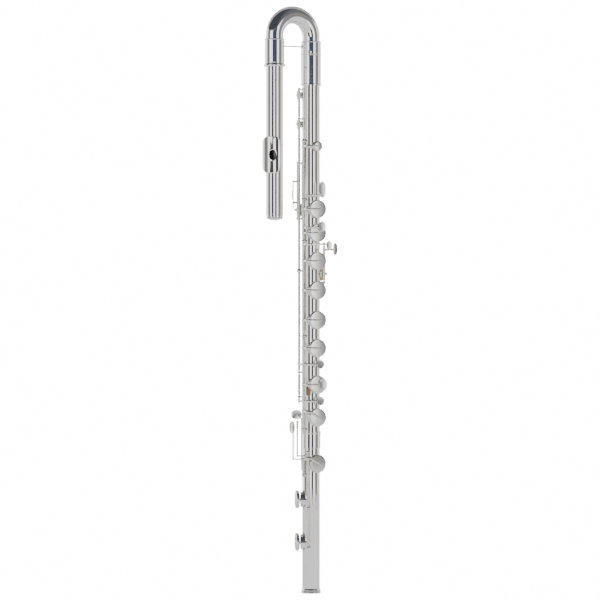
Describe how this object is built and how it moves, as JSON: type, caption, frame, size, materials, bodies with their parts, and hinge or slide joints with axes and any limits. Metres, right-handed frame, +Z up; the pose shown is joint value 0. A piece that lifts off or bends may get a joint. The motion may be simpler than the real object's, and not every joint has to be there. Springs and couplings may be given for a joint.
{
  "type": "bass flute",
  "caption": "Bass flute in C with a U-shaped head crook, closed-hole cups and a C foot; every key turns on its own hinge line.",
  "frame": {"origin": "centre of the foot's open end, on the axis of the body tube", "axes": "+Z up the body tube towards the crook, -X from the body tube to the head tube, -Y the side that the big cups face"},
  "size_m": [0.1257, 0.0647, 0.9964],
  "materials": {
    "tube_silver": "polished silver plate",
    "fitting_silver": "polished silver plate",
    "key_silver": "polished silver plate, lightly satined by handling",
    "pad_skin": "matte skin over felt",
    "cork": "matte cork",
    "blued_steel": "drawn steel rod",
    "screw_brass": "turned brass"
  },
  "bodies": {
    "foot": {"foot_tube": "tube_silver", "foot_tone_holes": "tube_silver", "foot_socket": "fitting_silver", "foot_end_ring": "fitting_silver", "foot_posts": "tube_silver", "foot_steel": "blued_steel"},
    "body": {"body_tube": "tube_silver", "body_tone_holes": "tube_silver", "body_barrel": "fitting_silver", "body_posts": "tube_silver", "body_ribs": "tube_silver", "body_steels": "blued_steel"},
    "crook": {"tuning_tenon": "tube_silver", "tuning_ferrule": "fitting_silver", "head_socket": "fitting_silver", "bend_body_half": "tube_silver", "bend_head_half": "tube_silver", "crook_brace": "tube_silver"},
    "head": {"head_tube": "tube_silver", "embouchure_riser": "tube_silver", "lip_plate": "fitting_silver"},
    "crown": {"crown": "fitting_silver"},
    "stopper": {"stopper_screw": "screw_brass", "stopper_cork": "cork"},
    "roller": {"low_c_roller": "key_silver"},
    "d_key": {"d_key": "key_silver", "d_pad": "pad_skin"},
    "e_key": {"e_key": "key_silver", "e_pad": "pad_skin"},
    "f_key": {"f_key": "key_silver", "f_pad": "pad_skin"},
    "f_sharp_key": {"f_sharp_key": "key_silver", "f_sharp_pad": "pad_skin"},
    "g_key": {"g_key": "key_silver", "g_pad": "pad_skin"},
    "a_key": {"a_key": "key_silver", "a_pad": "pad_skin"},
    "b_flat_key": {"b_flat_key": "key_silver", "b_flat_pad": "pad_skin"},
    "c_key": {"c_key": "key_silver", "c_pad": "pad_skin"},
    "g_sharp_key": {"g_sharp_key": "key_silver", "g_sharp_pad": "pad_skin"},
    "thumb_b_key": {"thumb_b_key": "key_silver", "thumb_b_pad": "pad_skin"},
    "thumb_b_flat_lever": {"thumb_b_flat_lever": "key_silver"},
    "d_trill_key": {"d_trill_key": "key_silver", "d_trill_pad": "pad_skin"},
    "d_sharp_trill_key": {"d_sharp_trill_key": "key_silver", "d_sharp_trill_pad": "pad_skin"},
    "foot_d_sharp_key": {"foot_d_sharp_key": "key_silver", "foot_d_sharp_pad": "pad_skin"},
    "c_sharp_key": {"c_sharp_key": "key_silver", "c_sharp_pad": "pad_skin"},
    "low_c_key": {"low_c_key": "key_silver", "low_c_pad": "pad_skin"}
  },
  "joints": [
    {"name": "foot_swivel", "type": "hinge", "parent": "foot", "child": "body", "pos_m": [0, 0, 0.262], "axis": [0, 0, 1], "range_deg": [-5, 5]},
    {"name": "tuning_slide", "type": "slide", "parent": "body", "child": "crook", "axis": [0, 0, 1], "range_m": [0, 0.015]},
    {"name": "head_swivel", "type": "hinge", "parent": "crook", "child": "head", "pos_m": [-0.0735, 0, 0.91], "axis": [0, 0, 1], "range_deg": [-20, 20]},
    {"name": "crown_turn", "type": "hinge", "parent": "head", "child": "crown", "pos_m": [-0.0735, 0, 0.645], "axis": [0, 0, 1], "range_deg": [-360, 360]},
    {"name": "stopper_slide", "type": "slide", "parent": "head", "child": "stopper", "axis": [0, 0, 1], "range_m": [-0.00075, 0.00075]},
    {"name": "d_press", "type": "hinge", "parent": "body", "child": "d_key", "pos_m": [-0.02067, -0.00752, 0.306], "axis": [0, 0, 1], "range_deg": [0, 6.5], "stiffness_Nm_per_rad": 0.12, "springref_deg": -12},
    {"name": "e_press", "type": "hinge", "parent": "body", "child": "e_key", "pos_m": [-0.02067, -0.00752, 0.357], "axis": [0, 0, 1], "range_deg": [0, 6.5], "stiffness_Nm_per_rad": 0.12, "springref_deg": -12},
    {"name": "f_press", "type": "hinge", "parent": "body", "child": "f_key", "pos_m": [-0.02067, -0.00752, 0.4095], "axis": [0, 0, 1], "range_deg": [0, 6.5], "stiffness_Nm_per_rad": 0.12, "springref_deg": -12},
    {"name": "f_sharp_press", "type": "hinge", "parent": "body", "child": "f_sharp_key", "pos_m": [-0.02067, -0.00752, 0.4635], "axis": [0, 0, 1], "range_deg": [0, 6.5]},
    {"name": "g_press", "type": "hinge", "parent": "body", "child": "g_key", "pos_m": [-0.02067, -0.00752, 0.541], "axis": [0, 0, 1], "range_deg": [0, 6.5], "stiffness_Nm_per_rad": 0.12, "springref_deg": -12},
    {"name": "a_press", "type": "hinge", "parent": "body", "child": "a_key", "pos_m": [-0.02067, -0.00752, 0.616], "axis": [0, 0, 1], "range_deg": [0, 6.5], "stiffness_Nm_per_rad": 0.12, "springref_deg": -12},
    {"name": "b_flat_press", "type": "hinge", "parent": "body", "child": "b_flat_key", "pos_m": [-0.02067, -0.00752, 0.6485], "axis": [0, 0, 1], "range_deg": [0, 6.5]},
    {"name": "c_press", "type": "hinge", "parent": "body", "child": "c_key", "pos_m": [-0.02067, -0.00752, 0.7187], "axis": [0, 0, 1], "range_deg": [0, 6.5], "stiffness_Nm_per_rad": 0.12, "springref_deg": -12},
    {"name": "g_sharp_press", "type": "hinge", "parent": "body", "child": "g_sharp_key", "pos_m": [0.01672, -0.01506, 0.561], "axis": [0, 0, 1], "range_deg": [-8, 0], "stiffness_Nm_per_rad": 0.12, "springref_deg": 12},
    {"name": "thumb_b_press", "type": "hinge", "parent": "body", "child": "thumb_b_key", "pos_m": [-0.01987, 0.01056, 0.665], "axis": [0, 0, 1], "range_deg": [-6.5, 0], "stiffness_Nm_per_rad": 0.12, "springref_deg": 12},
    {"name": "thumb_b_flat_press", "type": "hinge", "parent": "body", "child": "thumb_b_flat_lever", "pos_m": [-0.01987, 0.01056, 0.709], "axis": [0, 0, 1], "range_deg": [-5, 0], "stiffness_Nm_per_rad": 0.12, "springref_deg": 12},
    {"name": "d_trill_press", "type": "hinge", "parent": "body", "child": "d_trill_key", "pos_m": [-0.02233, 0.00274, 0.591], "axis": [0, 0, 1], "range_deg": [0, 8], "stiffness_Nm_per_rad": 0.12, "springref_deg": -12},
    {"name": "d_sharp_trill_press", "type": "hinge", "parent": "body", "child": "d_sharp_trill_key", "pos_m": [-0.02233, 0.00274, 0.591], "axis": [0, 0, 1], "range_deg": [0, 8], "stiffness_Nm_per_rad": 0.12, "springref_deg": -12},
    {"name": "foot_d_sharp_press", "type": "hinge", "parent": "foot", "child": "foot_d_sharp_key", "pos_m": [-0.02067, -0.00752, 0.215], "axis": [0, 0, 1], "range_deg": [-8, 0], "stiffness_Nm_per_rad": 0.12, "springref_deg": 12},
    {"name": "c_sharp_press", "type": "hinge", "parent": "foot", "child": "c_sharp_key", "pos_m": [-0.01712, -0.01682, 0.1905], "axis": [0, 0, 1], "range_deg": [-6.5, 0], "stiffness_Nm_per_rad": 0.12, "springref_deg": 12},
    {"name": "low_c_press", "type": "hinge", "parent": "foot", "child": "low_c_key", "pos_m": [-0.01712, -0.01682, 0.1595], "axis": [0, 0, 1], "range_deg": [-6.5, 0], "stiffness_Nm_per_rad": 0.12, "springref_deg": 12},
    {"name": "roller_spin", "type": "hinge", "parent": "low_c_key", "child": "roller", "pos_m": [-0.02921, -0.00228, 0.2862], "axis": [0, 0, 1], "continuous": true}
  ],
  "couplings": [
    {"joint": "f_sharp_press", "follows": "f_press", "ratio": 1},
    {"joint": "b_flat_press", "follows": "a_press", "ratio": 1},
    {"joint": "crown_turn", "follows": "stopper_slide", "rad_per_m": 8377.6}
  ]
}
